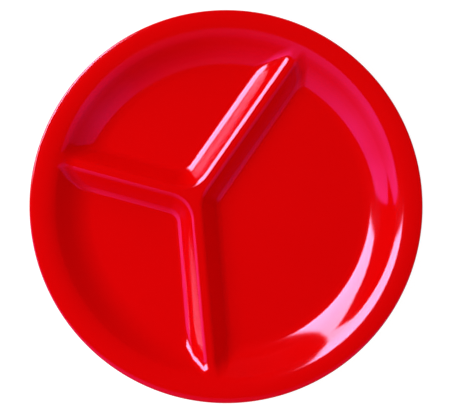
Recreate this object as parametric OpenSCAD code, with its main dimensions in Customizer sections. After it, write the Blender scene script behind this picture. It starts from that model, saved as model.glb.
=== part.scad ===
// Round dinner plate with a narrow brim and three compartments, parted by a hollow
// three-armed divider. It is one thin moulding, drawn here as the sections that it is
// moulded in: feet, wells, divider arms, walls, shoulder, brim and lip.
// The frame: Z is the plate's axis, the feet stand on z = 0, and one divider arm
// points along +Y, between the two small wells. The large well lies towards -Y.

/* [Plate] */
// Diameter over the outer lip
plate_d = 260; // [250:1:280]
// Thickness of the moulding
skin_t = 3; // [2.6:0.1:3.2]
// Depth of the wells below the crown, the brim's highest line
well_depth = 16.2; // [15:0.1:18]
// Width of the sloping wall, from the edge of the well's floor to the crown
wall_run = 35.5; // [34:0.5:38]
// Rounding between a well's floor and its wall, as a share of the room for the wall's roundings
wall_foot_share = 0.468; // [0.4:0.001:0.47]
// Rounding between the wall and the crown, as a share of the room for the wall's roundings
wall_top_share = 0.511; // [0.42:0.001:0.52]

/* [Brim and lip] */
// Distance of the crown inside the outer edge
crown_in = 4.2; // [3.8:0.1:5]
// Rounding of the brim's gentle fall outside the crown
brim_round = 30; // [24:1:40]
// Rounding of the lip's upper edge
lip_round = 1.2; // [0.8:0.1:1.6]
// Rounding of the lip's lower edge
lip_under_round = 1; // [0.6:0.1:1.2]
// Height of the lip, from the crown to its lower edge
lip_h = 4.6; // [4.2:0.1:6]
// Width of the thickened bead under the lip
lip_bead_w = 3; // [2.6:0.1:3.6]

/* [Divider] */
// Depth of the divider's crest below the crown
crest_drop = 5.5; // [5:0.1:7]
// Width of the divider where it leaves the floor, with its fillets
divider_base_w = 34.8; // [33:0.2:37]
// Width of the flat crest of the divider
divider_crest_w = 1; // [0.6:0.1:2]
// Rounding along the edges of the crest, as a share of the room for the divider's roundings
crest_share = 0.332; // [0.29:0.001:0.4]
// Rounding between the divider and the floor, as a share of the room for the divider's roundings
divider_foot_share = 0.465; // [0.4:0.001:0.5]
// Distance of the hub from the plate's axis towards +Y, as a share of the plate's radius
hub_back_share = 0.1615; // [0.12:0.0005:0.18]
// Distance of the hub from the plate's axis towards +X, as a share of the plate's radius
hub_side_share = 0.01; // [0:0.001:0.03]
// Angle from the back arm to the right arm
right_arm_turn = 110; // [104:1:118]
// Angle from the back arm to the left arm
left_arm_turn = 110; // [104:1:118]

/* [Feet] */
// Height of the feet below the underside of the wells
foot_h = 2.8; // [2:0.1:4]
// Width of a foot's flat face
foot_face_w = 2.6; // [2:0.1:4]
// Draft on each side of a foot
foot_draft = 0.9; // [0.4:0.1:1.4]
// Distance of the feet inside the edge of the floor
foot_inset = 5; // [3:0.5:8]
// Distance between the end of a foot and the divider's channel
foot_end_gap = 2; // [1:0.5:4]

/* [Hidden] */

melamine_red = [0.83, 0.0, 0.01];
$fn = 180;
// Steps in which an outline takes one rounding
arc_steps = 6;
// Overrun of cuts
over = 1;

// Heights
under_z = foot_h;
floor_z = under_z + skin_t;
crown_z = floor_z + well_depth;
crest_z = crown_z - crest_drop;
divider_h = crest_z - floor_z;

// Radii
plate_r = plate_d / 2;
crown_r = plate_r - crown_in;
floor_r = crown_r - wall_run;

// Greatest sum of two opposite roundings over a run and a rise: no face is left between them
function round_room(run, rise) = (pow(run, 2) + pow(rise, 2)) / (2 * rise);

// Slope of a face that joins two opposite roundings over a run and a rise
function face_slope(run, rise, low_round, high_round) =
    let (dz = rise - low_round - high_round)
    atan2(dz, run) + asin((low_round + high_round) / norm([run, dz]));

wall_foot_round = wall_foot_share * round_room(wall_run, well_depth);
wall_top_round = wall_top_share * round_room(wall_run, well_depth);
wall_slope = face_slope(wall_run, well_depth, wall_foot_round, wall_top_round);

// Radius at which the wall reaches the height of the divider's crest: the arms end there
arm_end_r = crest_drop < wall_top_round * (1 - cos(wall_slope))
    ? crown_r - sqrt(crest_drop * (2 * wall_top_round - crest_drop))
    : floor_r + wall_foot_round * sin(wall_slope)
        + (divider_h - wall_foot_round * (1 - cos(wall_slope))) / tan(wall_slope);

// Radius at which the thickened bead of the lip begins
bead_r = plate_r - lip_bead_w;
// Radius at which the shoulder ends and the brim begins, halfway between the arms and the bead
brim_r = (arm_end_r + bead_r) / 2;
// Angle at which the brim's fall passes into the lip
lip_turn = asin((crown_in - lip_round) / (brim_round - lip_round));
// Heights of the lip's outer face: its upper and its lower edge without the roundings
lip_top_z = crown_z - brim_round * (1 - cos(lip_turn)) - lip_round * cos(lip_turn);
lip_low_z = crown_z - lip_h + lip_under_round;

// Plan of the divider
hub = plate_r * [hub_side_share, hub_back_share];
back_dir = 90;
right_dir = back_dir - right_arm_turn;
left_dir = back_dir + left_arm_turn;
half_base = divider_base_w / 2;
half_crest = divider_crest_w / 2;
crest_round = crest_share * round_room(half_base - half_crest, divider_h);
divider_foot_round = divider_foot_share * round_room(half_base - half_crest, divider_h);
// Width of the flat border beside the fillets that belongs to an arm
arm_border = 2;
half_arm = half_base + arm_border;
// Reach of a well's plan along its middle, well outside the plate
plan_reach = 2 * plate_d;

// Direction of an angle in plan
function heading(a) = [cos(a), sin(a)];

// Corner of the well between the arms at two angles, moved inwards by a margin
function well_corner(a, b, margin = 0) =
    hub + (half_arm + margin) / sin((b - a) / 2) * heading((a + b) / 2);

// Points of an arc
function arc(centre, r, from, to) =
    [for (i = [0 : arc_steps]) centre + r * heading(from + (to - from) * i / arc_steps)];

// Outline that rises from a flat at low to a flat at high, sunk into the moulding by a depth
function rise_line(run_from, run_to, low, high, low_round, high_round, depth) =
    let (slope = face_slope(run_to - run_from, high - low, low_round, high_round))
    concat(
        arc([run_from, low + low_round], low_round + depth, -90, slope - 90),
        arc([run_to, high - high_round], high_round - depth, 90 + slope, 90)
    );

// Line of the wall in section, sunk into the moulding by a depth
function wall_line(depth) =
    rise_line(floor_r, crown_r, floor_z, crown_z, wall_foot_round, wall_top_round, depth);

// Line of the left side of the divider in section, sunk into the moulding by a depth.
// It starts a little below the flat that it rises from.
function divider_line(depth) =
    run_in(rise_line(-half_base, -half_crest, floor_z, crest_z,
        divider_foot_round, crest_round, depth));

// Line with its first stretch made longer backwards
function run_in(points) =
    let (first = points[1] - points[0])
    [for (i = [0 : len(points) - 1]) i == 0 ? points[0] - over * first / norm(first) : points[i]];

function mirrored(points) = [for (i = [len(points) - 1 : -1 : 0]) [-points[i].x, points[i].y]];

// Section of the whole rim outside the floor, with the bead under the lip
module rim_section() {
    polygon(concat(
        wall_line(0),
        arc([crown_r, crown_z - brim_round], brim_round, 90, 90 - lip_turn),
        arc([plate_r - lip_round, lip_top_z], lip_round, 90 - lip_turn, 0),
        arc([plate_r - lip_under_round, lip_low_z], lip_under_round, 0, -90),
        [[bead_r, crown_z - lip_h], [bead_r, crown_z - skin_t - brim_drop(bead_r)]],
        [[crown_r, crown_z - skin_t]],
        reversed(wall_line(skin_t))
    ));
}

// Fall of the brim at a radius outside the crown
function brim_drop(r) = brim_round - sqrt(pow(brim_round, 2) - pow(r - crown_r, 2));

function reversed(points) = [for (i = [len(points) - 1 : -1 : 0]) points[i]];

// Turned body whose seam lies in the middle of the front well, clear of every edge
module turned() { rotate([0, 0, -90]) rotate_extrude() children(); }

// Ring cut from the rim between two radii
module rim_ring(from_r, to_r) {
    turned() intersection() {
        rim_section();
        translate([from_r, 0]) square([to_r - from_r, crown_z + over]);
    }
}

// Prism of the divider's section along one arm, sunk into the moulding by a depth
module arm_prism(dir, depth) {
    side = divider_line(depth);
    translate([hub.x, hub.y, 0]) rotate([0, 0, dir - 90]) rotate([90, 0, 180])
        linear_extrude(plate_d) polygon(concat(
            [[side[0].x, -over]], side, mirrored(side), [[-side[0].x, -over]]
        ));
}

// Plan of the well between the arms at two angles
module well_plan(a, b, margin = 0) {
    corner = well_corner(a, b, margin);
    polygon([
        corner,
        corner + plate_d * heading(a),
        corner + plan_reach * heading((a + b) / 2),
        corner + plate_d * heading(b)
    ]);
}

// Plan of the arm between its neighbours at two angles, mitred at the hub
module arm_plan(before, dir, after) {
    right_corner = well_corner(before, dir);
    left_corner = well_corner(dir, after);
    polygon([
        hub,
        right_corner,
        right_corner + plate_d * heading(dir),
        left_corner + plate_d * heading(dir),
        left_corner
    ]);
}

// Floor of the well between the arms at two angles
module well_floor(a, b) {
    color(melamine_red) translate([0, 0, under_z]) linear_extrude(skin_t) intersection() {
        circle(floor_r);
        well_plan(a, b);
    }
}

// Wall of the well between the arms at two angles, up to the height of the crest
module well_wall(a, b) {
    color(melamine_red) intersection() {
        rim_ring(floor_r, arm_end_r);
        linear_extrude(crown_z + over) well_plan(a, b);
    }
}

// Foot under the well between the arms at two angles
module well_foot(a, b) {
    outer_r = floor_r - foot_inset;
    inner_r = outer_r - foot_face_w - 2 * foot_draft;
    color(melamine_red) intersection() {
        turned() polygon([
            [inner_r, under_z], [inner_r + foot_draft, 0],
            [outer_r - foot_draft, 0], [outer_r, under_z]
        ]);
        linear_extrude(under_z) well_plan(a, b, foot_end_gap);
    }
}

// Everything under the line of the floor and the wall, sunk into the moulding by a depth
module rim_body(depth) {
    turned() polygon(concat(
        [[0, -over], [0, floor_z - depth]], wall_line(depth), [[crown_r, -over]]
    ));
}

// Divider arm between its neighbours at two angles, with its root in the wall
module divider_arm(before, dir, after) {
    color(melamine_red) difference() {
        intersection() {
            union() {
                arm_prism(dir, 0);
                rim_body(0);
            }
            linear_extrude(crown_z) intersection() {
                circle(arm_end_r);
                arm_plan(before, dir, after);
            }
        }
        arm_prism(dir, skin_t);
        rim_body(skin_t);
    }
}

module front_floor() { well_floor(left_dir, right_dir + 360); }
module left_floor() { well_floor(back_dir, left_dir); }
module right_floor() { well_floor(right_dir, back_dir); }
module front_wall() { well_wall(left_dir, right_dir + 360); }
module left_wall() { well_wall(back_dir, left_dir); }
module right_wall() { well_wall(right_dir, back_dir); }
module back_arm() { divider_arm(right_dir, back_dir, left_dir); }
module left_arm() { divider_arm(back_dir, left_dir, right_dir + 360); }
module right_arm() { divider_arm(left_dir - 360, right_dir, back_dir); }
module shoulder() { color(melamine_red) rim_ring(arm_end_r, brim_r); }
module brim() { color(melamine_red) rim_ring(brim_r, bead_r); }
module outer_lip() { color(melamine_red) rim_ring(bead_r, plate_r + over); }
module front_foot() { well_foot(left_dir, right_dir + 360); }
module left_foot() { well_foot(back_dir, left_dir); }
module right_foot() { well_foot(right_dir, back_dir); }

front_floor();
left_floor();
right_floor();
front_wall();
left_wall();
right_wall();
back_arm();
left_arm();
right_arm();
shoulder();
brim();
outer_lip();
front_foot();
left_foot();
right_foot();
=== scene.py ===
"""Looks of the round compartment plate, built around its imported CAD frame.

The plate is one thin moulding. Its upper skin is a single smooth height over the plan, and
each section of the moulding is cut from that skin, so that neighbours share their edges and
their normals and no seam shows. The brim, the lip and the feet are swept by Geometry Nodes.
All lengths are in metres, in the frame of the CAD part.
"""

import logging
import math
from collections.abc import Iterator
from dataclasses import asdict, dataclass
from enum import Enum

import bpy
import numpy as np
from mathutils import Matrix, Vector


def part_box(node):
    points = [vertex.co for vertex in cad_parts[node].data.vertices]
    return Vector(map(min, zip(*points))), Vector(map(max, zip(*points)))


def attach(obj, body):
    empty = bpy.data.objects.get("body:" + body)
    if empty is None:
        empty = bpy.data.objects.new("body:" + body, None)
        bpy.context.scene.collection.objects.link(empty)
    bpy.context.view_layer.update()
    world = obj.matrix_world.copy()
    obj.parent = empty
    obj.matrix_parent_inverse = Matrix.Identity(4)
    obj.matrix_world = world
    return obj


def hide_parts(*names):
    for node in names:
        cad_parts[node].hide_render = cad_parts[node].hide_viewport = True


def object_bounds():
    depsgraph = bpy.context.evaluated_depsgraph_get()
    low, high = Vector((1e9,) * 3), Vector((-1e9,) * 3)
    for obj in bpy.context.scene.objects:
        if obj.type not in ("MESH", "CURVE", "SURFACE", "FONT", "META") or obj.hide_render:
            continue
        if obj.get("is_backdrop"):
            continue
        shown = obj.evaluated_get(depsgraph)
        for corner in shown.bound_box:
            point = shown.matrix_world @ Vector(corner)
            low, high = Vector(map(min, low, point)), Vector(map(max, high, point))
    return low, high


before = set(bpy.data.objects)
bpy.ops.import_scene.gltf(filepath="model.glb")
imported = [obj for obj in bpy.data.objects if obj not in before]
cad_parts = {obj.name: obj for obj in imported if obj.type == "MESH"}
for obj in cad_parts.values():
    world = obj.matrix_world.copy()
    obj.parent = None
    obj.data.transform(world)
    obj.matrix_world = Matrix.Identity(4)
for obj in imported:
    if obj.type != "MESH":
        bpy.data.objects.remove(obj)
CAD_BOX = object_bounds()

Array = np.ndarray
Object = bpy.types.Object
Socket = bpy.types.NodeSocket
Tree = bpy.types.NodeTree

MM = 0.001
BODY = "root"
WHITE = (1.0, 1.0, 1.0)
JOIN_GAP = 1e-7
FOOT_TIP_SHARE = 0.25
SCRATCH_TURNS = (35.0, 128.0)
SCRATCH_STRETCH = 0.06
SCRATCH_WIDTH = 0.012
SCRATCHED_CLOUD = 0.5
PEEL_DETAIL = 1.0
CLOUD_DETAIL = 3.0
# Watts at which a square metre of lamp has a radiance of 1
LAMP_WATTS = math.pi
PANEL_COLOUR = (1.0, 0.2, 0.95)
# Corners of the lit parts of two lamps, as distances in metres aside and along the lamp
KEY_CORNERS = ((-0.5, 0.08), (0.24, 0.1), (0.5, 2.85), (0.36, 2.85), (-0.42, 1.9), (-0.8, 0.85))
PANEL_CORNERS = ((-5.3, 2.3), (-0.45, 0.02), (5.3, 0.02), (5.3, 2.5), (-5.3, 2.5))
# Glow of the wide panel at angles in degrees to the side, seen from the plate
PANEL_GLOW = (
    (-86.0, 0.0), (-75.0, 0.07), (-65.0, 0.16), (-54.0, 0.26), (-44.0, 0.2), (-33.0, 0.1),
    (-22.0, 0.07), (-10.0, 0.07), (3.0, 0.11), (12.0, 0.15), (18.0, 0.2), (27.0, 0.35),
    (39.0, 0.45), (49.0, 0.62), (59.0, 0.83), (69.0, 0.76), (79.0, 1.0), (90.0, 1.0),
)
# Degrees that such a glow's ramp covers
GLOW_SPAN = 180.0
CLIP = (0.01, 100.0)
log = logging.getLogger("plate")


class Slot(Enum):
    """Slot names of the two finishes; the script passes them along but nothing reads them."""

    MELAMINE = "glossy_melamine"
    FOOT = "worn_foot"


def heading(angle: float) -> Array:
    """Direction in plan of an angle in degrees."""
    return np.array([math.cos(math.radians(angle)), math.sin(math.radians(angle))])


def eased(steps: int, share: float) -> Array:
    """Steps from 0 to 1 that draw closer together towards both ends.

    Args:
        steps: Number of steps.
        share: How much of the even spacing gives way to the drawn one, from 0 to 1.

    Returns:
        The steps + 1 values.
    """
    even = np.linspace(0.0, 1.0, steps + 1)
    return (1 - share) * even + share * (1 - np.cos(math.pi * even)) / 2


def in_turn(items: tuple) -> Iterator[tuple]:
    """Pairs each item with the next one, and the last with the first."""
    return zip(items, items[1:] + items[:1])


def soft_min(a: Array, b: Array, width: Array | float) -> Array:
    """Smaller of two values, rounded where they lie closer together than a width."""
    near = np.maximum(width - np.abs(a - b), 0.0) / width
    return np.minimum(a, b) - near * near * width / 4


def soft_max(a: Array, b: Array, width: Array | float) -> Array:
    """Larger of two values, rounded where they lie closer together than a width."""
    return -soft_min(-a, -b, width)


def round_corner(a: Array, b: Array, bend: float) -> Array:
    """Distance from a corner's centre, from the distances out towards its two sides.

    Args:
        a: Distances from the centre towards the first side.
        b: Distances from the centre towards the second side.
        bend: Angle in radians between the two sides' outward directions.

    Returns:
        The larger distance beside a side, and the distance from the centre between the two.
    """
    within = (b > a * math.cos(bend)) & (a > b * math.cos(bend)) & (a + b > 0)
    squared = (a * a + b * b - 2 * a * b * math.cos(bend)) / math.sin(bend) ** 2
    return np.where(within, np.sqrt(np.maximum(squared, 0.0)), np.maximum(a, b))


def linked(name: str, data: bpy.types.ID) -> Object:
    """Object with a name and its data, linked to the scene.

    Args:
        name: Name of the object.
        data: Its mesh, lamp or camera.

    Returns:
        The new object.
    """
    made = bpy.data.objects.new(name, data)
    bpy.context.scene.collection.objects.link(made)
    return made


def placed(place: Vector, right: Vector, up: Vector) -> Matrix:
    """Matrix of an object at a place, from where its X and its Y axis point."""
    turn = Matrix((right, up, right.cross(up))).transposed().to_4x4()
    return Matrix.Translation(place) @ turn


@dataclass(frozen=True)
class Rise:
    """Section line that climbs from one flat to another over arcs that join smoothly.

    Between two places the sine of the slope changes evenly, so that each stretch is an arc.
    The slopes are first written as if at will, and one factor then fits them to the rise.
    """

    run: float
    rise: float
    places: tuple[float, ...]
    sines: tuple[float, ...]
    factor_range: tuple[float, float] = (0.5, 1.3)
    factor_trials: int = 60

    def arcs(self, factor: float) -> tuple[Array, Array, Array, Array]:
        """Works out the stretches at a factor on the slopes.

        Args:
            factor: The factor on the sines.

        Returns:
            The places, the sines, the radii and the heights.
        """
        place = np.array(self.places) * self.run
        sine = np.array(self.sines) * factor
        radius = np.diff(place) / np.diff(sine)
        step = radius * (np.sqrt(1 - sine[:-1] ** 2) - np.sqrt(1 - sine[1:] ** 2))
        return place, sine, radius, np.concatenate([[0.0], np.cumsum(step)])

    @property
    def fitted(self) -> tuple[Array, Array, Array, Array]:
        """The arcs at the factor that gives the line its rise."""
        low, high = self.factor_range
        for _ in range(self.factor_trials):
            factor = (low + high) / 2
            if self.arcs(factor)[3][-1] < self.rise:
                low = factor
            else:
                high = factor
        return self.arcs(factor)

    @property
    def low_round(self) -> float:
        """Radius of the first rounding."""
        return float(self.fitted[2][0])

    @property
    def high_round(self) -> float:
        """Radius of the last rounding."""
        return -float(self.fitted[2][-1])

    def height(self, run: Array) -> Array:
        """Heights of the line over its lower flat.

        Args:
            run: Distances from where the line begins.

        Returns:
            The heights.
        """
        place, sine, radius, height = self.fitted
        v = np.clip(run, 0.0, self.run)
        i = np.clip(np.searchsorted(place, v, side="right") - 1, 0, len(radius) - 1)
        here = sine[i] + (v - place[i]) / radius[i]
        return height[i] + radius[i] * (np.sqrt(1 - sine[i] ** 2) - np.sqrt(1 - here**2))

    def run_at(self, height: Array) -> Array:
        """Distances at which the line reaches heights.

        Args:
            height: Heights over its lower flat.

        Returns:
            The distances from where the line begins.
        """
        place, sine, radius, heights = self.fitted
        z = np.clip(height, 0.0, heights[-1])
        i = np.clip(np.searchsorted(heights, z, side="right") - 1, 0, len(radius) - 1)
        cosine = np.minimum(np.sqrt(1 - sine[i] ** 2) - (z - heights[i]) / radius[i], 1.0)
        return place[i] + radius[i] * (np.sqrt(1 - cosine**2) - sine[i])


@dataclass(frozen=True)
class Arm:
    """One arm of the divider in plan: its hub, its direction and the turns to its neighbours."""

    name: str
    hub: Array
    direction: float
    right_turn: float
    left_turn: float

    @property
    def along(self) -> Array:
        """Direction in plan from the hub outwards."""
        return heading(self.direction)

    @property
    def aside(self) -> Array:
        """Direction in plan to the arm's left, seen from the hub."""
        return heading(self.direction + 90)

    def start(self, aside: Array) -> Array:
        """Distances along the arm at which lines beside its middle leave the mitre."""
        turn = np.where(aside > 0, self.left_turn, self.right_turn)
        return np.abs(aside) / np.tan(np.radians(turn) / 2)

    def reach(self, aside: Array, radius: float) -> Array:
        """Distances along the arm at which lines beside its middle leave a circle on the axis."""
        across = aside + self.hub @ self.aside
        return np.sqrt(radius**2 - across**2) - self.hub @ self.along

    def place(self, along: Array, aside: Array) -> Array:
        """Points in plan from distances along the arm and beside it."""
        return self.hub + along[..., None] * self.along + aside[..., None] * self.aside


def angles_between(here: Arm, after: Arm, radius: float, clear: float) -> tuple[float, float]:
    """Where a circle round the plate's axis runs between two arms.

    Args:
        here: The arm on the right, seen from the axis.
        after: The arm on the left.
        radius: Radius of the circle.
        clear: Distance that it keeps from the arms' middles.

    Returns:
        The angles in plan at which it starts and ends, in radians.
    """
    ends = []
    for arm, aside in ((here, np.array(clear)), (after, np.array(-clear))):
        point = arm.place(arm.reach(aside, radius), aside)
        ends.append(math.atan2(point[1], point[0]))
    start, end = ends
    return start, end + (2 * math.pi if end < start else 0.0)


@dataclass(frozen=True)
class Form:
    """The plate's shape: one smooth skin over the plan, with all the sizes behind it.

    The places and the sines are those of Rise, the shares are of the plate's radius, and the
    turn is in degrees.
    """

    plate_r: float
    floor_r: float
    arm_end_r: float
    brim_r: float
    bead_r: float
    under_z: float
    floor_z: float
    crest_z: float
    crown_z: float
    lip_low_z: float
    crown_in: float = 4.2 * MM
    lip_round: float = 1.2 * MM
    lip_under_round: float = 1.0 * MM
    bead_fillet: float = 1.0 * MM
    bead_edge_round: float = 0.5 * MM
    wall_places: tuple[float, ...] = (0.0, 0.397, 0.527, 0.617, 0.665, 0.771, 1.0)
    wall_sines: tuple[float, ...] = (0.0, 0.636, 0.7, 0.67, 0.472, 0.27, 0.0)
    brim_round: float = 30 * MM
    base_w: float = 32.8 * MM
    crest_w: float = 2.0 * MM
    divider_places: tuple[float, ...] = (0.0, 0.328, 0.779, 1.0)
    divider_sines: tuple[float, ...] = (0.0, 0.704, 0.708, 0.0)
    hub_back_share: float = 0.1615
    hub_side_share: float = 0.01
    arm_turn: float = 110.0
    arm_border: float = 3.0 * MM
    well_corner_round: float = 5.3 * MM
    wall_corner_blend: float = 9 * MM
    crest_end_blend: float = 6.5 * MM
    probe: float = 0.01 * MM

    @classmethod
    def from_frame(cls) -> "Form":
        """Reads the heights and the radii of the sections from the CAD nodes.

        Returns:
            The form.
        """
        front = {n: -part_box(n)[0].y for n in ("front_floor", "front_wall", "shoulder", "brim")}
        floor_low, floor_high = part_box("front_floor")
        return cls(
            plate_r=-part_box("outer_lip")[0].y,
            floor_r=front["front_floor"],
            arm_end_r=front["front_wall"],
            brim_r=front["shoulder"],
            bead_r=front["brim"],
            under_z=floor_low.z,
            floor_z=floor_high.z,
            crest_z=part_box("back_arm")[1].z,
            crown_z=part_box("brim")[1].z,
            lip_low_z=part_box("outer_lip")[0].z,
        )

    @property
    def skin_t(self) -> float:
        """Thickness of the moulding."""
        return self.floor_z - self.under_z

    @property
    def crown_r(self) -> float:
        """Radius of the brim's highest line."""
        return self.plate_r - self.crown_in

    @property
    def half_base(self) -> float:
        """Half the divider's width at the floor."""
        return self.base_w / 2

    @property
    def half_arm(self) -> float:
        """Half the width in plan of an arm's section, with its flat border."""
        return self.half_base + self.arm_border

    @property
    def wall(self) -> Rise:
        """Section line of the wall, from the floor to the crown."""
        run, rise = self.crown_r - self.floor_r, self.crown_z - self.floor_z
        return Rise(run, rise, self.wall_places, self.wall_sines)

    @property
    def divider(self) -> Rise:
        """Section line of the divider's side, from the floor to the crest."""
        run, rise = self.half_base - self.crest_w / 2, self.crest_z - self.floor_z
        return Rise(run, rise, self.divider_places, self.divider_sines)

    @property
    def hub(self) -> Array:
        """Point in plan where the arms meet."""
        return self.plate_r * np.array([self.hub_side_share, self.hub_back_share])

    @property
    def arms(self) -> tuple[Arm, Arm, Arm]:
        """The right, the back and the left arm, in the order in which they turn."""
        back, front_turn = 90.0, 360.0 - 2 * self.arm_turn
        return (
            Arm("right_arm", self.hub, back - self.arm_turn, front_turn, self.arm_turn),
            Arm("back_arm", self.hub, back, self.arm_turn, self.arm_turn),
            Arm("left_arm", self.hub, back + self.arm_turn, self.arm_turn, front_turn),
        )

    def arm_distance(self, x: Array, y: Array) -> Array:
        """Distances from the nearest arm's middle, rounded in the corners at the hub.

        Args:
            x: Places in plan to the right.
            y: Places in plan to the back.

        Returns:
            The distances.
        """
        off_x, off_y = x - self.hub[0], y - self.hub[1]
        reach = self.half_base + self.well_corner_round
        found = np.full(np.shape(x), -reach)
        for here, after in in_turn(self.arms):
            beside = off_x * here.aside[0] + off_y * here.aside[1]
            before = -(off_x * after.aside[0] + off_y * after.aside[1])
            bend = math.radians(180.0 - here.left_turn)
            out = round_corner(reach - beside, reach - before, bend)
            found = np.maximum(found, reach - out)
        return found

    def height(self, x: Array, y: Array) -> Array:
        """Heights of the upper skin.

        Where the divider meets the wall, the two are rounded into each other, over a width
        that changes from the floor to the crest.

        Args:
            x: Places in plan to the right.
            y: Places in plan to the back.

        Returns:
            The heights.
        """
        wall, divider = self.wall, self.divider
        r = np.hypot(x, y)
        up_wall = r - self.floor_r
        inside = self.half_base - self.arm_distance(x, y)
        raised = divider.height(inside)
        spread = math.sqrt(wall.low_round / divider.low_round)
        up_divider = np.where(inside > 0, wall.run_at(raised), inside * spread)
        share = raised / divider.rise
        blend = self.wall_corner_blend + (self.crest_end_blend - self.wall_corner_blend) * share
        z = self.floor_z + wall.height(soft_max(up_divider, up_wall, blend))
        past = np.maximum(r - self.crown_r, 0.0)
        return z - (self.brim_round - np.sqrt(self.brim_round**2 - past**2))

    def normal(self, x: Array, y: Array) -> Array:
        """Upward normals of the upper skin.

        Args:
            x: Places in plan to the right.
            y: Places in plan to the back.

        Returns:
            The normals, one row each.
        """
        h = self.probe
        slope_x = (self.height(x + h, y) - self.height(x - h, y)) / (2 * h)
        slope_y = (self.height(x, y + h) - self.height(x, y - h)) / (2 * h)
        found = np.stack([-slope_x, -slope_y, np.ones_like(slope_x)], axis=-1)
        return found / np.linalg.norm(found, axis=-1, keepdims=True)


def finished_mesh(
    name: str, points: Array, faces: list[tuple[int, ...]], normals: list[Array]
) -> Object:
    """Object with a smooth-shaded mesh whose normals are given face corner by face corner.

    Args:
        name: Name of the piece.
        points: The vertices, one row each.
        faces: Vertex numbers of each face, counter-clockwise from outside.
        normals: For each face, the normals at its corners.

    Returns:
        The new object, linked to the scene.
    """
    mesh = bpy.data.meshes.new(name)
    mesh.from_pydata(points.tolist(), [], faces)
    mesh.polygons.foreach_set("use_smooth", np.ones(len(mesh.polygons), bool))
    mesh.normals_split_custom_set(np.concatenate(normals).tolist())
    mesh.update()
    return linked(name, mesh)


@dataclass(frozen=True)
class SkinPatch:
    """Closed section of the moulding over a grid of plan points.

    The rows of the grid run outwards and its columns counter-clockwise. The lower skin lies
    the moulding's thickness below the upper one, measured across it.
    """

    form: Form
    name: str
    plan: Array
    ring: bool = False
    point_start: bool = False

    def numbers(self) -> Array:
        """Numbers the vertices; a first row that is one point has one number.

        Returns:
            The vertex number of each grid point.
        """
        rows, columns = self.plan.shape[:2]
        found = np.arange(rows * columns).reshape(rows, columns)
        if self.point_start:
            found = np.maximum(found - (columns - 1), 0)
        if self.ring:
            found = np.concatenate([found, found[:, :1]], axis=1)
        return found

    def rim(self, ids: Array) -> list[list[int]]:
        """Follows the patch's edge lines.

        Args:
            ids: The vertex number of each grid point.

        Returns:
            The lines' vertex numbers, each a closed loop with the patch on its left.
        """
        if self.ring:
            return [ids[-1].tolist(), ids[0][::-1].tolist()]
        loop = [*ids[:, 0], *ids[-1, 1:], *ids[-2::-1, -1], *ids[0, -2::-1]]
        kept = [int(v) for i, v in enumerate(loop) if i == 0 or v != loop[i - 1]]
        return [kept if kept[0] == kept[-1] else kept + kept[:1]]

    def build(self) -> Object:
        """Makes the closed section and gives it the skin's own normals.

        Returns:
            The section.
        """
        plan = self.plan.reshape(-1, 2)
        if self.point_start:
            plan = plan[self.plan.shape[1] - 1 :]
        x, y = plan[:, 0], plan[:, 1]
        above = self.form.normal(x, y)
        top = np.stack([x, y, self.form.height(x, y)], axis=-1)
        bottom = top - self.form.skin_t * above
        points = np.concatenate([top, bottom])
        count, ids = len(top), self.numbers()
        corners = np.stack([ids[:-1, :-1], ids[1:, :-1], ids[1:, 1:], ids[:-1, 1:]], axis=-1)
        faces, normals = [], []
        for quad in corners.reshape(-1, 4).tolist():
            face = list(dict.fromkeys(quad))
            faces += [tuple(face), tuple(count + v for v in face[::-1])]
            normals += [above[face], -above[face[::-1]]]
        for loop in self.rim(ids):
            for a, b in zip(loop, loop[1:]):
                side = np.cross(points[a + count] - points[a], points[b] - points[a])
                faces.append((a, a + count, b + count, b))
                normals.append(np.tile(side / np.linalg.norm(side), (4, 1)))
        return finished_mesh(self.name, points, faces, normals)


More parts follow.
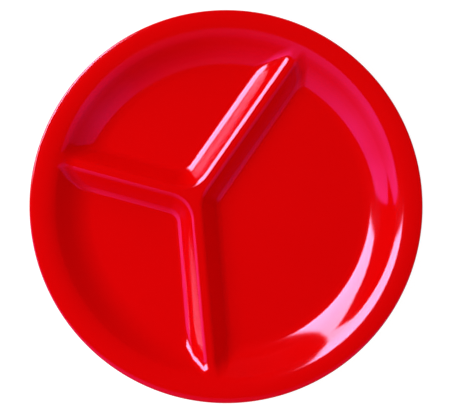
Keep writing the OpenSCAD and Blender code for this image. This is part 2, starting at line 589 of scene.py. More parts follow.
@dataclass(frozen=True)
class Layout:
    """Where the sections of the moulding meet in plan, as grid lines that neighbours share."""

    form: Form
    floor_steps: int = 72
    wall_steps: int = 30
    shoulder_steps: int = 14
    across_steps: int = 104
    small_arc_steps: int = 130
    large_arc_steps: int = 230
    along_ease: float = 0.6
    arc_ease: float = 0.5

    @property
    def asides(self) -> Array:
        """Distances of an arm's columns from its middle, to the left."""
        return np.linspace(-self.form.half_arm, self.form.half_arm, self.across_steps + 1)

    @property
    def floor_shares(self) -> Array:
        """Shares of the way from the mitre to the edge of the floor."""
        return eased(self.floor_steps, self.along_ease)

    @property
    def wall_radii(self) -> Array:
        """Radii of the rows from the edge of the floor to the end of the arms."""
        return np.linspace(self.form.floor_r, self.form.arm_end_r, self.wall_steps + 1)

    @property
    def shoulder_radii(self) -> Array:
        """Radii of the rows from the end of the arms to the brim."""
        return np.linspace(self.form.arm_end_r, self.form.brim_r, self.shoulder_steps + 1)

    def arm_plan(self, arm: Arm) -> Array:
        """Grid over an arm, from the mitre at the hub to its end in the wall.

        Args:
            arm: The arm.

        Returns:
            The points in plan, row by row.
        """
        aside = self.asides
        start, edge = arm.start(aside), arm.reach(aside, self.form.floor_r)
        along = start + self.floor_shares[:, None] * (edge - start)
        beyond = [arm.reach(aside, radius) for radius in self.wall_radii[1:]]
        rows = np.concatenate([along, np.stack(beyond)])
        return arm.place(rows, np.broadcast_to(aside, rows.shape))

    def arc(self, here: Arm, after: Arm, radius: float) -> Array:
        """Points on a circle across the well between two arms.

        Args:
            here: The arm on the well's right.
            after: The arm on its left.
            radius: Radius of the circle.

        Returns:
            The points in plan.
        """
        start, end = angles_between(here, after, radius, self.form.half_arm)
        small = here.left_turn <= self.form.arm_turn
        steps = self.small_arc_steps if small else self.large_arc_steps
        angle = start + eased(steps, self.arc_ease) * (end - start)
        return radius * np.stack([np.cos(angle), np.sin(angle)], axis=-1)

    def floor_plan(self, here: Arm, after: Arm) -> Array:
        """Grid over the floor of the well between two arms, from its corner at the hub.

        Args:
            here: The arm on the well's right.
            after: The arm on its left.

        Returns:
            The points in plan, row by row.
        """
        aside = np.array(self.form.half_arm)
        corner = here.place(here.start(aside), aside)
        edge = self.arc(here, after, self.form.floor_r)
        return corner + self.floor_shares[:, None, None] * (edge - corner)

    def wall_plan(self, here: Arm, after: Arm) -> Array:
        """Grid over the wall of the well between two arms."""
        return np.stack([self.arc(here, after, radius) for radius in self.wall_radii])

    def shoulder_plan(self) -> Array:
        """Grid over the shoulder, with a column at every column of the arms and walls.

        Returns:
            The points in plan, row by row.
        """
        ends = []
        for here, after in in_turn(self.form.arms):
            aside = self.asides
            ends.append(here.place(here.reach(aside, self.form.arm_end_r), aside)[:-1])
            ends.append(self.arc(here, after, self.form.arm_end_r)[:-1])
        outward = np.concatenate(ends) / self.form.arm_end_r
        return self.shoulder_radii[:, None, None] * outward


@dataclass(frozen=True)
class Run:
    """Smooth stretch of a section's outline: points of radius and height, and their normals."""

    points: Array
    normals: Array

    @classmethod
    def arc(
        cls, centre: tuple[float, float], radius: float, start: float, end: float, steps: int,
        hollow: bool = False,
    ) -> "Run":
        """Arc about a centre.

        Args:
            centre: Radius and height of the centre.
            radius: Radius of the arc.
            start: Angle at which it starts, in degrees from the outward axis.
            end: Angle at which it ends.
            steps: Number of steps.
            hollow: True where the material lies outside the arc.

        Returns:
            The stretch.
        """
        angle = np.radians(np.linspace(start, end, steps + 1))
        way = np.stack([np.cos(angle), np.sin(angle)], axis=-1)
        return cls(np.array(centre) + radius * way, -way if hollow else way)

    @classmethod
    def line(cls, start: Array, end: Array) -> "Run":
        """Straight stretch, with the material on its right.

        Args:
            start: Its first point.
            end: Its last point.

        Returns:
            The stretch.
        """
        way = np.asarray(end) - np.asarray(start)
        way = way / np.linalg.norm(way)
        return cls(np.stack([start, end]), np.tile([-way[1], way[0]], (2, 1)))


@dataclass(frozen=True)
class Outline:
    """Closed outline of a swept section, clockwise in radius and height."""

    runs: tuple[Run, ...]

    @classmethod
    def closed(cls, *runs: Run) -> "Outline":
        """Joins smooth stretches by straight lines where their ends don't meet.

        Args:
            runs: The stretches, in order.

        Returns:
            The outline.
        """
        joined = []
        for run, after in in_turn(runs):
            joined.append(run)
            last, first = run.points[-1], after.points[0]
            if np.linalg.norm(first - last) > JOIN_GAP:
                joined.append(Run.line(last, first))
        return cls(tuple(joined))

    def points(self) -> Array:
        """Its points, each once."""
        return np.concatenate([run.points[:-1] for run in self.runs])

    def stretches(self) -> tuple[Array, Array]:
        """Takes the outline apart into the short lines between its points.

        Returns:
            The ends of each short line, and the normals at those ends.
        """
        ends = [np.stack([run.points[:-1], run.points[1:]], axis=1) for run in self.runs]
        normals = [np.stack([run.normals[:-1], run.normals[1:]], axis=1) for run in self.runs]
        return np.concatenate(ends), np.concatenate(normals)


class NodeTree:
    """A node tree under construction, with short calls for its sockets, nodes and links."""

    def __init__(self, tree: Tree) -> None:
        """Starts on an empty tree."""
        self.tree = tree

    @classmethod
    def group(cls, name: str, kind: str) -> "NodeTree":
        """Starts on a new node group, of the kind Geometry or Shader."""
        return cls(bpy.data.node_groups.new(name, kind + "NodeTree"))

    @classmethod
    def of(cls, owner: bpy.types.ID) -> "NodeTree":
        """Starts on the emptied tree of something that has one.

        Args:
            owner: The material, lamp or world.

        Returns:
            The tree under construction.
        """
        owner.use_nodes = True
        owner.node_tree.nodes.clear()
        return cls(owner.node_tree)

    def sockets(self, kind: str, *names: str, way: str = "INPUT") -> None:
        """Adds named inputs or outputs of a type such as Float to the tree's interface."""
        for name in names:
            self.tree.interface.new_socket(name, in_out=way, socket_type="NodeSocket" + kind)

    def add(self, kind: str, inputs: dict | None = None, **settings: object) -> bpy.types.Node:
        """Adds a node.

        Args:
            kind: Type of the node.
            inputs: For each input, by name or number, its value or the socket that feeds it.
            settings: Settings of the node itself.

        Returns:
            The new node.
        """
        node = self.tree.nodes.new(kind)
        for name, value in settings.items():
            setattr(node, name, value)
        for name, value in (inputs or {}).items():
            if isinstance(value, Socket):
                self.tree.links.new(value, node.inputs[name])
            else:
                node.inputs[name].default_value = value
        return node

    def out(
        self, kind: str, output: str, inputs: dict | None = None, **settings: object
    ) -> Socket:
        """Adds a node, as add does, and returns one of its outputs."""
        return self.add(kind, inputs, **settings).outputs[output]

    def maths(self, operation: str, *values: object, clamp: bool = False) -> Socket:
        """Adds a Math node on values or sockets and returns its result."""
        given = dict(enumerate(values))
        return self.add("ShaderNodeMath", given, operation=operation, use_clamp=clamp).outputs[0]

    def finished(self, mesh: Socket, finish: Socket, name: str) -> Tree:
        """Ends a tree that makes a mesh: realizes it, gives it its material and puts it out.

        Args:
            mesh: Socket of the mesh.
            finish: Socket of the material.
            name: Name of the tree's output.

        Returns:
            The tree.
        """
        real = self.out("GeometryNodeRealizeInstances", "Geometry", {"Geometry": mesh})
        inputs = {"Geometry": real, "Material": finish}
        dressed = self.out("GeometryNodeSetMaterial", "Geometry", inputs)
        self.add("NodeGroupOutput", {name: dressed})
        return self.tree


def sweep_tree() -> Tree:
    """Tree that sweeps a closed outline round the plate's axis.

    The outline comes in as a mesh of edges: X is the distance outside the path, Y the depth.

    Returns:
        The tree.
    """
    made = NodeTree.group("sweep_round_axis", "Geometry")
    made.sockets("Geometry", "Outline")
    made.sockets("Float", "Path Radius")
    made.sockets("Int", "Steps")
    made.sockets("Material", "Finish")
    made.sockets("Geometry", "Ring", way="OUTPUT")
    given = made.add("NodeGroupInput").outputs
    outline = made.out("GeometryNodeMeshToCurve", "Curve", {"Mesh": given["Outline"]})
    circle = {"Resolution": given["Steps"], "Radius": given["Path Radius"]}
    path = made.out("GeometryNodeCurvePrimitiveCircle", "Curve", circle, mode="RADIUS")
    swept = made.out("GeometryNodeCurveToMesh", "Mesh", {"Curve": path, "Profile Curve": outline})
    return made.finished(swept, given["Finish"], "Ring")


def foot_tree() -> Tree:
    """Tree that makes a foot: a drafted bar swept along an arc, with rounded ends.

    The arc lies in the plane of the foot's root, and the foot hangs down from it.

    Returns:
        The tree.
    """
    made = NodeTree.group("foot_along_arc", "Geometry")
    made.sockets("Geometry", "Base")
    made.sockets("Float", "Arc Radius", "Start Angle", "Sweep Angle")
    made.sockets("Float", "Face Width", "Root Width", "Height", "Edge Round", "End Length")
    made.sockets("Int", "Steps", "Edge Steps")
    made.sockets("Material", "Finish")
    made.sockets("Geometry", "Foot", way="OUTPUT")
    given = made.add("NodeGroupInput").outputs
    arc = {name: given[name] for name in ("Start Angle", "Sweep Angle")}
    arc |= {"Resolution": given["Steps"], "Radius": given["Arc Radius"]}
    path = made.out("GeometryNodeCurveArc", "Curve", arc, mode="RADIUS")
    section = {"Bottom Width": given["Root Width"], "Top Width": given["Face Width"]}
    section |= {"Height": given["Height"], "Offset": 0.0}
    bar = made.out("GeometryNodeCurvePrimitiveQuadrilateral", "Curve", section, mode="TRAPEZOID")
    middle = made.maths("MULTIPLY", given["Height"], 0.5)
    lift = made.out("ShaderNodeCombineXYZ", "Vector", {"Y": middle})
    seated = made.out("GeometryNodeTransform", "Geometry", {"Geometry": bar, "Translation": lift})
    place = made.out("GeometryNodeInputPosition", "Position")
    depth = made.out("ShaderNodeSeparateXYZ", "Y", {"Vector": place})
    at_face = made.maths("GREATER_THAN", depth, middle)
    edges = {"Curve": seated, "Count": given["Edge Steps"]}
    edges["Radius"] = made.maths("MULTIPLY", at_face, given["Edge Round"])
    rounded = made.out("GeometryNodeFilletCurve", "Curve", edges, mode="POLY")
    along = made.out("GeometryNodeSplineParameter", "Length")
    whole = made.out("GeometryNodeSplineLength", "Length")
    nearest = made.maths("MINIMUM", along, made.maths("SUBTRACT", whole, along))
    share = made.maths("DIVIDE", nearest, given["End Length"], clamp=True)
    inward = made.maths("POWER", made.maths("SUBTRACT", 1.0, share), 2.0)
    taper = made.maths("SQRT", made.maths("SUBTRACT", 1.0, inward))
    sweep = {"Curve": path, "Profile Curve": rounded, "Fill Caps": True}
    sweep["Scale"] = made.maths("MAXIMUM", taper, FOOT_TIP_SHARE)
    swept = made.out("GeometryNodeCurveToMesh", "Mesh", sweep)
    return made.finished(swept, given["Finish"], "Foot")


def grown(name: str, base: bpy.types.Mesh, tree: Tree, values: dict[str, object]) -> Object:
    """Runs a Geometry Nodes tree on a mesh and keeps the result as a plain mesh.

    Args:
        name: Name of the piece.
        base: The mesh that goes into the tree.
        tree: The tree.
        values: The tree's inputs, by name.

    Returns:
        The new object, with no modifier left on it.
    """
    piece = linked(name, base)
    modifier = piece.modifiers.new("shape", "NODES")
    modifier.node_group = tree
    inputs = [item for item in tree.interface.items_tree if item.in_out == "INPUT"]
    keys = {item.name: item.identifier for item in inputs}
    for label, value in values.items():
        modifier[keys[label]] = value
    depsgraph = bpy.context.evaluated_depsgraph_get()
    made = bpy.data.meshes.new_from_object(piece.evaluated_get(depsgraph), depsgraph=depsgraph)
    piece.modifiers.clear()
    piece.data = made
    made.name = name
    bpy.data.meshes.remove(base)
    return piece


def give_swept_normals(piece: Object, outline: Outline) -> None:
    """Gives a ring swept round the axis the outline's own normals.

    Args:
        piece: The ring.
        outline: The outline that it was swept from.
    """
    mesh = piece.data
    ends, normals = outline.stretches()
    points = np.array([v.co for v in mesh.vertices])
    flat = np.stack([np.hypot(points[:, 0], points[:, 1]), points[:, 2]], axis=-1)
    radial = points[:, :2] / flat[:, :1]
    middles = ends.mean(axis=1)
    found = []
    for face in mesh.polygons:
        corners = list(face.vertices)
        nearest = int(np.argmin(((middles - flat[corners].mean(axis=0)) ** 2).sum(axis=1)))
        for corner in corners:
            end = int(np.argmin(((ends[nearest] - flat[corner]) ** 2).sum(axis=1)))
            across, up = normals[nearest, end]
            found.append((across * radial[corner, 0], across * radial[corner, 1], up))
    mesh.polygons.foreach_set("use_smooth", np.ones(len(mesh.polygons), bool))
    mesh.normals_split_custom_set(found)


@dataclass(frozen=True)
class Grain:
    """Sizes of the moulding's fine surface for one finish."""

    peel_size: float
    peel_depth: float
    scratch_size: float
    scratch_depth: float
    cloud_size: float

    def inputs(self) -> dict[str, float]:
        """The sizes, by the names of the shader group's inputs."""
        return {name.replace("_", " ").title(): size for name, size in asdict(self).items()}


def fine_surface_group() -> Tree:
    """Shader group of a moulded surface: faint orange peel, hair scratches and cloudy polish.

    Its outputs are a height in metres, a mask of the scratches and a slow cloud from 0 to 1.

    Returns:
        The group.
    """
    made = NodeTree.group("fine_surface", "Shader")
    made.sockets("Float", "Peel Size", "Peel Depth", "Scratch Size", "Scratch Depth", "Cloud Size")
    made.sockets("Float", "Height", "Scratches", "Cloud", way="OUTPUT")
    given = made.add("NodeGroupInput").outputs
    place = made.out("ShaderNodeTexCoord", "Object")
    peel_scale, cloud_scale, scratch_scale = (
        made.maths("DIVIDE", 1.0, given[name + " Size"]) for name in ("Peel", "Cloud", "Scratch")
    )
    noise = {"Vector": place, "Scale": peel_scale, "Detail": PEEL_DETAIL}
    peel = made.out("ShaderNodeTexNoise", "Fac", noise)
    noise = {"Vector": place, "Scale": cloud_scale, "Detail": CLOUD_DETAIL}
    cloud = made.out("ShaderNodeTexNoise", "Fac", noise)
    layers = []
    for turn in SCRATCH_TURNS:
        stretch = {"Vector": place, "Scale": (1.0, SCRATCH_STRETCH, 1.0)}
        stretch["Rotation"] = (0.0, 0.0, math.radians(turn))
        cells = {"Vector": made.out("ShaderNodeMapping", "Vector", stretch), "Scale": scratch_scale}
        edge = made.out("ShaderNodeTexVoronoi", "Distance", cells, feature="DISTANCE_TO_EDGE")
        thin = {"Value": edge, "From Max": SCRATCH_WIDTH, "To Min": 1.0, "To Max": 0.0}
        layers.append(made.out("ShaderNodeMapRange", "Result", thin))
    gaps = made.maths("GREATER_THAN", cloud, SCRATCHED_CLOUD)
    scratches = made.maths("MULTIPLY", made.maths("MAXIMUM", *layers), gaps)
    raised = made.maths("MULTIPLY", peel, given["Peel Depth"])
    cut = made.maths("MULTIPLY", scratches, given["Scratch Depth"])
    height = made.maths("SUBTRACT", raised, cut)
    made.add("NodeGroupOutput", {"Height": height, "Scratches": scratches, "Cloud": cloud})
    return made.tree


@dataclass(frozen=True)
class Finish:
    """A finish of the red moulding: its colour, its gloss and its fine surface."""

    name: str
    slot: Slot
    deep: tuple[float, float, float]
    bright: tuple[float, float, float]
    roughness: float
    scratched_roughness: float
    ior: float
    specular_tint: tuple[float, float, float]
    grain: Grain

    def material(self, fine_surface: Tree) -> bpy.types.Material:
        """Builds the finish's material.

        Args:
            fine_surface: The shader group of the moulded surface.

        Returns:
            The material.
        """
        material = bpy.data.materials.new(self.name)
        made = NodeTree.of(material)
        surface = made.add("ShaderNodeGroup", self.grain.inputs(), node_tree=fine_surface).outputs
        tint = made.add("ShaderNodeValToRGB", {"Fac": surface["Cloud"]})
        for stop, colour in zip(tint.color_ramp.elements, (self.deep, self.bright)):
            stop.color = (*colour, 1.0)
        gloss = {"Value": surface["Scratches"], "To Min": self.roughness}
        gloss["To Max"] = self.scratched_roughness
        bump = {"Height": surface["Height"], "Distance": 1.0}
        red = {
            "Base Color": tint.outputs["Color"],
            "Roughness": made.out("ShaderNodeMapRange", "Result", gloss),
            "IOR": self.ior,
            "Specular Tint": (*self.specular_tint, 1.0),
            "Normal": made.out("ShaderNodeBump", "Normal", bump),
        }
        shader = made.out("ShaderNodeBsdfPrincipled", "BSDF", red)
        made.add("ShaderNodeOutputMaterial", {"Surface": shader})
        return material


GLOSSY = Finish(
    name="glossy_red_melamine",
    slot=Slot.MELAMINE,
    deep=(0.63, 0.0004, 0.0006),
    bright=(0.67, 0.0006, 0.0009),
    roughness=0.07,
    scratched_roughness=0.08,
    ior=1.5,
    specular_tint=(1.0, 0.5, 0.9),
    grain=Grain(
        peel_size=9 * MM, peel_depth=0.004 * MM, scratch_size=26 * MM, scratch_depth=0.0,
        cloud_size=60 * MM,
    ),
)
WORN = Finish(
    name="worn_red_foot",
    slot=Slot.FOOT,
    deep=(0.56, 0.006, 0.009),
    bright=(0.66, 0.02, 0.024),
    roughness=0.38,
    scratched_roughness=0.6,
    ior=1.5,
    specular_tint=WHITE,
    grain=Grain(
        peel_size=0.6 * MM, peel_depth=0.012 * MM, scratch_size=5 * MM,
        scratch_depth=0.01 * MM, cloud_size=9 * MM,
    ),
)


@dataclass(frozen=True)
class Workshop:
    """What the sub-assemblies share: the shape, its layout, the materials and the trees."""

    form: Form
    layout: Layout
    glossy: bpy.types.Material
    worn: bpy.types.Material
    sweep: Tree
    foot: Tree

    @classmethod
    def opened(cls) -> "Workshop":
        """Reads the shape from the frame, and builds the materials and the trees.

        Returns:
            The workshop.
        """
        form, fine = Form.from_frame(), fine_surface_group()
        glossy, worn = GLOSSY.material(fine), WORN.material(fine)
        return cls(form, Layout(form), glossy, worn, sweep_tree(), foot_tree())

    def hand_over(self, piece: Object, node: str, slot: Slot) -> None:
        """Lets a finished piece stand for its CAD node and ride with the plate.

        Args:
            piece: The piece, in place and with its material.
            node: The CAD node that it stands for.
            slot: Not used.
        """
        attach(piece, BODY)
        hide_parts(node)
        log.info("%s stands for %s: %d faces", piece.name, node, len(piece.data.polygons))

    def skin(self, node: str, plan: Array, **closing: bool) -> Object:
        """Makes a glossy section of the moulding over a grid of plan points.

        Args:
            node: The CAD node that it stands for.
            plan: The grid.
            closing: How the grid closes: ring or point_start.

        Returns:
            The piece.
        """
        piece = SkinPatch(self.form, node + "_skin", plan, **closing).build()
        piece.data.materials.append(self.glossy)
        self.hand_over(piece, node, Slot.MELAMINE)
        return piece


@dataclass(frozen=True)
class Well:
    """A compartment: its floor, its wall and the foot below it."""

    shop: Workshop
    name: str
    here: Arm
    after: Arm
    foot_face_w: float = 2.6 * MM
    foot_draft: float = 0.9 * MM
    foot_inset: float = 5.0 * MM
    foot_end_gap: float = 2.0 * MM
    foot_edge_round: float = 0.55 * MM
    foot_end_length: float = 2.2 * MM
    foot_step: float = 0.8 * MM
    foot_edge_steps: int = 5
    foot_smooth_angle: float = 34.0

    def build(self) -> None:
        """Makes the floor, the wall and the foot."""
        layout = self.shop.layout
        floor = layout.floor_plan(self.here, self.after)
        self.shop.skin(self.name + "_floor", floor, point_start=True)
        self.shop.skin(self.name + "_wall", layout.wall_plan(self.here, self.after))
        self.build_foot()

    def build_foot(self) -> None:
        """Makes the foot from the tree that sweeps it along its arc."""
        form, node = self.shop.form, self.name + "_foot"
        root_w = self.foot_face_w + 2 * self.foot_draft
        radius = form.floor_r - self.foot_inset - root_w / 2
        clear = form.half_arm + self.foot_end_gap
        first, last = angles_between(self.here, self.after, radius, clear)
        values = {
            "Arc Radius": radius,
            "Start Angle": first,
            "Sweep Angle": last - first,
            "Face Width": self.foot_face_w,
            "Root Width": root_w,
            "Height": form.under_z,
            "Edge Round": self.foot_edge_round,
            "End Length": self.foot_end_length,
            "Steps": int(radius * (last - first) / self.foot_step),
            "Edge Steps": self.foot_edge_steps,
            "Finish": self.shop.worn,
        }
        piece = grown(node + "_bar", bpy.data.meshes.new("base"), self.shop.foot, values)
        piece.data.transform(Matrix.Translation((0.0, 0.0, form.under_z)))
        piece.data.shade_smooth()
        piece.data.set_sharp_from_angle(angle=math.radians(self.foot_smooth_angle))
        self.shop.hand_over(piece, node, Slot.FOOT)


@dataclass(frozen=True)
class Divider:
    """The hollow three-armed divider."""

    shop: Workshop

    def build(self) -> None:
        """Makes the three arms."""
        for arm in self.shop.form.arms:
            self.shop.skin(arm.name, self.shop.layout.arm_plan(arm))


@dataclass(frozen=True)
class Rim:
    """The upper edge of the plate: its shoulder, its brim and its lip."""

    shop: Workshop
    sweep_steps: int = 720
    arc_steps: int = 14
    edge_steps: int = 8

    def build(self) -> None:
        """Makes the shoulder and sweeps the brim and the lip."""
        self.shop.skin("shoulder", self.shop.layout.shoulder_plan(), ring=True)
        self.build_ring("brim", self.brim_outline())
        self.build_ring("outer_lip", self.lip_outline())

    def fall(self, radius: float) -> float:
        """Angle in degrees by which the brim leans outwards at a radius."""
        form = self.shop.form
        return math.degrees(math.asin((radius - form.crown_r) / form.brim_round))

    def brim_outline(self) -> Outline:
        """Outline of the brim, from the shoulder over the crown to the bead of the lip.

        Returns:
            The outline.
        """
        form, steps = self.shop.form, self.arc_steps
        wall_round, skin = form.wall.high_round, form.skin_t
        inner = (form.crown_r, form.crown_z - wall_round)
        outer = (form.crown_r, form.crown_z - form.brim_round)
        lean = math.degrees(math.asin((form.crown_r - form.brim_r) / wall_round))
        fillet_r = form.bead_r - form.bead_fillet
        under_round = form.brim_round - skin
        under = math.degrees(math.asin((fillet_r - form.crown_r) / under_round))
        under_z = outer[1] + under_round * math.cos(math.radians(under))
        fillet = (fillet_r, under_z - form.bead_fillet)
        return Outline.closed(
            Run.arc(inner, wall_round, 90 + lean, 90, steps),
            Run.arc(outer, form.brim_round, 90, 90 - self.fall(form.bead_r), steps),
            Run.arc(fillet, form.bead_fillet, 0, 90 - under, self.edge_steps, hollow=True),
            Run.arc(outer, under_round, 90 - under, 90, steps, hollow=True),
            Run.arc(inner, wall_round - skin, 90, 90 + lean, steps, hollow=True),
        )

    def lip_outline(self) -> Outline:
        """Outline of the lip and the bead under it.

        Returns:
            The outline.
        """
        form, steps = self.shop.form, self.edge_steps
        turn = (form.crown_in - form.lip_round) / (form.brim_round - form.lip_round)
        lean = math.degrees(math.asin(turn))
        drop = (form.brim_round - form.lip_round) * (1 - math.cos(math.radians(lean)))
        top = (form.plate_r - form.lip_round, form.crown_z - form.lip_round - drop)
        under, edge = form.lip_under_round, form.bead_edge_round
        low = (form.plate_r - under, form.lip_low_z + under)
        bead = (form.bead_r + edge, form.lip_low_z + edge)
        crown = (form.crown_r, form.crown_z - form.brim_round)
        return Outline.closed(
            Run.arc(crown, form.brim_round, 90 - self.fall(form.bead_r), 90 - lean, steps),
            Run.arc(top, form.lip_round, 90 - lean, 0, steps),
            Run.arc(low, under, 0, -90, steps),
            Run.arc(bead, edge, -90, -180, steps),
        )

    def build_ring(self, node: str, outline: Outline) -> None:
        """Sweeps a piece round the axis.

        Args:
            node: The CAD node that it stands for.
            outline: Its outline.
        """
        path_r = self.shop.form.crown_r
        points = [(r - path_r, -z, 0.0) for r, z in outline.points()]
        count = len(points)
        base = bpy.data.meshes.new("outline")
        base.from_pydata(points, [(i, (i + 1) % count) for i in range(count)], [])
        values = {"Path Radius": path_r, "Steps": self.sweep_steps, "Finish": self.shop.glossy}
        piece = grown(node + "_skin", base, self.shop.sweep, values)
        give_swept_normals(piece, outline)
        self.shop.hand_over(piece, node, Slot.MELAMINE)


@dataclass(frozen=True)
class Softbox:
    """A rectangular studio lamp, whose glow can be graded and cut to an outline.

    Its place is given from the plate's middle: a compass angle in plan, and the distances and
    the heights of its near and its far edge. Its glow falls off evenly to glow_far at the far
    edge, and over the angles to the side by the pairs of degrees and levels in glow_angles.
    It is lit only within its corners, which run counter-clockwise as distances aside and
    along, and outside an ellipse about the plate's axis with the half axes in blocked, where
    the photographer stands.
    """

    name: str
    toward: float
    near: float
    far: float
    near_z: float
    far_z: float
    width: float
    glow: float
    aside: float = 0.0
    glow_angles: tuple[tuple[float, float], ...] = ()
    glow_far: float = 1.0
    corners: tuple[tuple[float, float], ...] = ()
    blocked: tuple[float, float] | None = None
    edge_blur: float = 0.05
    blocked_blur: float = 0.16
    colour: tuple[float, float, float] = WHITE
    in_diffuse: bool = True
    in_gloss: bool = True

    def build(self) -> None:
        """Makes the lamp."""
        way = heading(self.toward)
        across = Vector((way[1], -way[0], 0.0))
        near = Vector((*(way * self.near), self.near_z)) + across * self.aside
        far = Vector((*(way * self.far), self.far_z)) + across * self.aside
        outward = far - near
        lamp = bpy.data.lights.new(self.name, "AREA")
        lamp.shape = "RECTANGLE"
        lamp.size, lamp.size_y = self.width, outward.length
        lamp.color = self.colour
        lamp.energy = self.glow * LAMP_WATTS * lamp.size * lamp.size_y
        if self.glow_angles or self.corners or self.glow_far < 1.0:
            self.grade(lamp)
        holder = linked(self.name, lamp)
        holder.matrix_world = placed((near + far) / 2, across, outward.normalized())
        holder.visible_camera = False
        holder.visible_diffuse = self.in_diffuse
        holder.visible_glossy = self.in_gloss
        log.info("lamp %s: %.2f by %.2f m", self.name, lamp.size, lamp.size_y)

    def grade(self, lamp: bpy.types.Light) -> None:
        """Grades the lamp's glow.

        Args:
            lamp: The lamp, with its size.
        """
        made = NodeTree.of(lamp)
        place = made.out("ShaderNodeNewGeometry", "Parametric")
        split = made.add("ShaderNodeSeparateXYZ", {"Vector": place}).outputs
        aside = made.maths("MULTIPLY_ADD", split["X"], self.width, self.aside - self.width / 2)
        ahead = made.maths("MULTIPLY_ADD", split["Y"], self.far - self.near, self.near)
        along = made.maths("MULTIPLY", split["Y"], lamp.size_y)
        glow = made.maths("MULTIPLY_ADD", split["Y"], self.glow_far - 1.0, 1.0)
        for share in self.shares(made, aside, ahead, along):
            glow = made.maths("MULTIPLY", share, glow)
        shine = made.out("ShaderNodeEmission", "Emission", {"Strength": glow})
        made.add("ShaderNodeOutputLight", {"Surface": shine})

    def shares(
        self, made: NodeTree, aside: Socket, ahead: Socket, along: Socket
    ) -> Iterator[Socket]:
        """Grades the glow over the angle, by each side of the outline and where it is blocked.

        Args:
            made: The lamp's tree.
            aside: Distance to the side of the plate's axis.
            ahead: Distance from the axis in the lamp's direction.
            along: Distance along the lamp from its near edge.

        Yields:
            Each share from 0 to 1 that multiplies the glow.
        """
        if self.glow_angles:
            angle = made.maths("DEGREES", made.maths("ARCTAN2", aside, ahead))
            place = made.maths("MULTIPLY_ADD", angle, 1.0 / GLOW_SPAN, 0.5)
            ramp = made.add("ShaderNodeValToRGB", {"Fac": place})
            ramp.color_ramp.interpolation = "EASE"
            points = ramp.color_ramp.elements
            while len(points) < len(self.glow_angles):
                points.new(0.5)
            for point, (degrees, level) in zip(points, self.glow_angles):
                point.position = degrees / GLOW_SPAN + 0.5
                point.color = (level, level, level, 1.0)
            yield ramp.outputs["Color"]
        for here, after in in_turn(self.corners):
            edge = Vector(after) - Vector(here)
            inward = Vector((-edge.y, edge.x)) / edge.length / self.edge_blur
            inside = made.maths("MULTIPLY_ADD", along, inward.y, 0.5 - inward.dot(Vector(here)))
            yield made.maths("MULTIPLY_ADD", aside, inward.x, inside, clamp=True)
        if self.blocked:
            wide, deep = (
                made.maths("POWER", made.maths("DIVIDE", length, reach), 2.0)
                for length, reach in zip((aside, ahead), self.blocked)
            )
            past = made.maths("SUBTRACT", made.maths("SQRT", made.maths("ADD", wide, deep)), 1.0)
            yield made.maths("MULTIPLY_ADD", past, 1.0 / self.blocked_blur, 0.5, clamp=True)


@dataclass(frozen=True)
class Camera:
    """The camera: straight above the plate, at the photograph's turn and framing."""

    form: Form
    distance: float = 1.2
    sensor: float = 36 * MM
    picture_w: float = 450.0
    picture_h: float = 418.0
    plate_px_x: float = 226.0
    plate_px_y: float = 206.6
    plate_px_r: float = 196.9
    turn: float = 74.9

    @property
    def pixel(self) -> float:
        """Length that one pixel covers at the lip."""
        return self.form.plate_r / self.plate_px_r

    def build(self) -> None:
        """Makes the camera and sets it as the scene's."""
        right = Vector((*heading(-self.turn), 0.0))
        up = Vector((*heading(90 - self.turn), 0.0))
        off_x = (self.plate_px_x - self.picture_w / 2) * self.pixel
        off_y = (self.picture_h / 2 - self.plate_px_y) * self.pixel
        place = -right * off_x - up * off_y
        place.z = self.form.crown_z + self.distance
        lens = bpy.data.cameras.new("camera")
        lens.sensor_width = self.sensor / MM
        lens.lens = self.sensor / MM * self.distance / (self.picture_w * self.pixel)
        lens.clip_start, lens.clip_end = CLIP
        holder = linked("camera", lens)
        holder.matrix_world = placed(place, right, up)
        bpy.context.scene.camera = holder


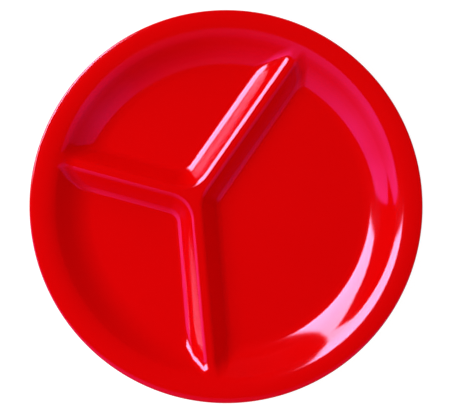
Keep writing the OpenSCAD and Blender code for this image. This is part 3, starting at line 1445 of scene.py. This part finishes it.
@dataclass(frozen=True)
class Studio:
    """The room round the plate: a white floor, soft daylight and the softboxes."""

    form: Form
    turn: float
    floor_size: float = 12.0
    floor_shade: float = 0.3
    floor_lift: float = 0.86
    ambient: float = 0.46

    def build(self) -> None:
        """Makes the floor, the world and the lamps."""
        self.build_floor()
        self.build_world()
        for lamp in self.lamps():
            lamp.build()

    def compass(self, picture_angle: float) -> float:
        """Angle in plan of an angle in the picture."""
        return picture_angle - self.turn

    def lamps(self) -> list[Softbox]:
        """Places the softboxes: two that only the gloss mirrors, and three that only light.

        Returns:
            The softboxes.
        """
        return [
            Softbox(
                "key_shine", self.compass(137), near=0.56, far=3.1, near_z=1.643, far_z=0.245,
                width=1.36, glow=25.0, aside=-0.15, glow_far=0.6, corners=KEY_CORNERS,
                edge_blur=0.06, in_diffuse=False,
            ),
            Softbox(
                "wide_shine", self.compass(270), near=0.06, far=2.375, near_z=0.9, far_z=0.15,
                width=10.7, glow=3.6, glow_angles=PANEL_GLOW, glow_far=0.05,
                corners=PANEL_CORNERS, blocked=(0.95, 0.27), colour=PANEL_COLOUR,
                in_diffuse=False,
            ),
            Softbox(
                "key_light", self.compass(175), near=0.888, far=1.318, near_z=1.138,
                far_z=0.586, width=0.7, glow=8.2, in_gloss=False,
            ),
            Softbox(
                "side_light", self.compass(100), near=1.196, far=1.436, near_z=0.808,
                far_z=0.15, width=0.7, glow=4.4, in_gloss=False,
            ),
            Softbox(
                "fill_light", self.compass(275), near=0.397, far=1.003, near_z=1.387,
                far_z=1.037, width=0.7, glow=2.3, in_gloss=False,
            ),
        ]

    def build_world(self) -> None:
        """Makes the soft daylight, which the gloss doesn't mirror."""
        world = bpy.data.worlds.new("daylight")
        made = NodeTree.of(world)
        path = made.add("ShaderNodeLightPath").outputs
        seen = path["Is Camera Ray"]
        matt = made.maths("SUBTRACT", 1.0, path["Is Glossy Ray"])
        unseen = made.maths("SUBTRACT", matt, seen)
        strength = made.maths("MULTIPLY_ADD", unseen, self.ambient, seen, clamp=True)
        light = {"Color": (*WHITE, 1.0), "Strength": strength}
        sky = made.out("ShaderNodeBackground", "Background", light)
        made.add("ShaderNodeOutputWorld", {"Surface": sky})
        bpy.context.scene.world = world

    def build_floor(self) -> None:
        """Makes the white floor that the plate stands on, clear when seen from below."""
        half = self.floor_size / 2
        mesh = bpy.data.meshes.new("studio_floor")
        corners = [(-half, -half, 0), (half, -half, 0), (half, half, 0), (-half, half, 0)]
        mesh.from_pydata(corners, [], [(0, 1, 2, 3)])
        material = bpy.data.materials.new("studio_floor")
        made = NodeTree.of(material)
        shade = (self.floor_shade, self.floor_shade, self.floor_shade, 1.0)
        matt = made.out("ShaderNodeBsdfDiffuse", "BSDF", {"Color": shade})
        path = made.add("ShaderNodeLightPath").outputs
        seen = made.maths("ADD", path["Is Camera Ray"], path["Is Glossy Ray"], clamp=True)
        glow = {"Color": (*WHITE, 1.0), "Strength": made.maths("MULTIPLY", seen, self.floor_lift)}
        lift = made.out("ShaderNodeEmission", "Emission", glow)
        both = made.out("ShaderNodeAddShader", "Shader", {0: matt, 1: lift})
        below = made.out("ShaderNodeNewGeometry", "Backfacing")
        clear = made.out("ShaderNodeBsdfTransparent", "BSDF")
        faced = made.out("ShaderNodeMixShader", "Shader", {0: below, 1: both, 2: clear})
        made.add("ShaderNodeOutputMaterial", {"Surface": faced})
        mesh.materials.append(material)
        floor = linked("studio_floor", mesh)
        floor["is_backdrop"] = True


def write_sizes() -> None:
    """Gathers the CAD box and the dressed plate's box, and keeps neither."""
    boxes = {"cad": CAD_BOX, "visual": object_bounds()}
    {name: [list(low), list(high)] for name, (low, high) in boxes.items()}


def main() -> None:
    """Builds the plate, its studio and its camera."""
    logging.basicConfig(level=logging.INFO, format="%(message)s")
    bpy.context.scene.view_settings.view_transform = "Standard"
    shop = Workshop.opened()
    for name, (here, after) in zip(("right", "left", "front"), in_turn(shop.form.arms)):
        Well(shop, name, here, after).build()
    Divider(shop).build()
    Rim(shop).build()
    camera = Camera(shop.form)
    camera.build()
    Studio(shop.form, camera.turn).build()
    write_sizes()


if __name__ == "__main__":
    main()
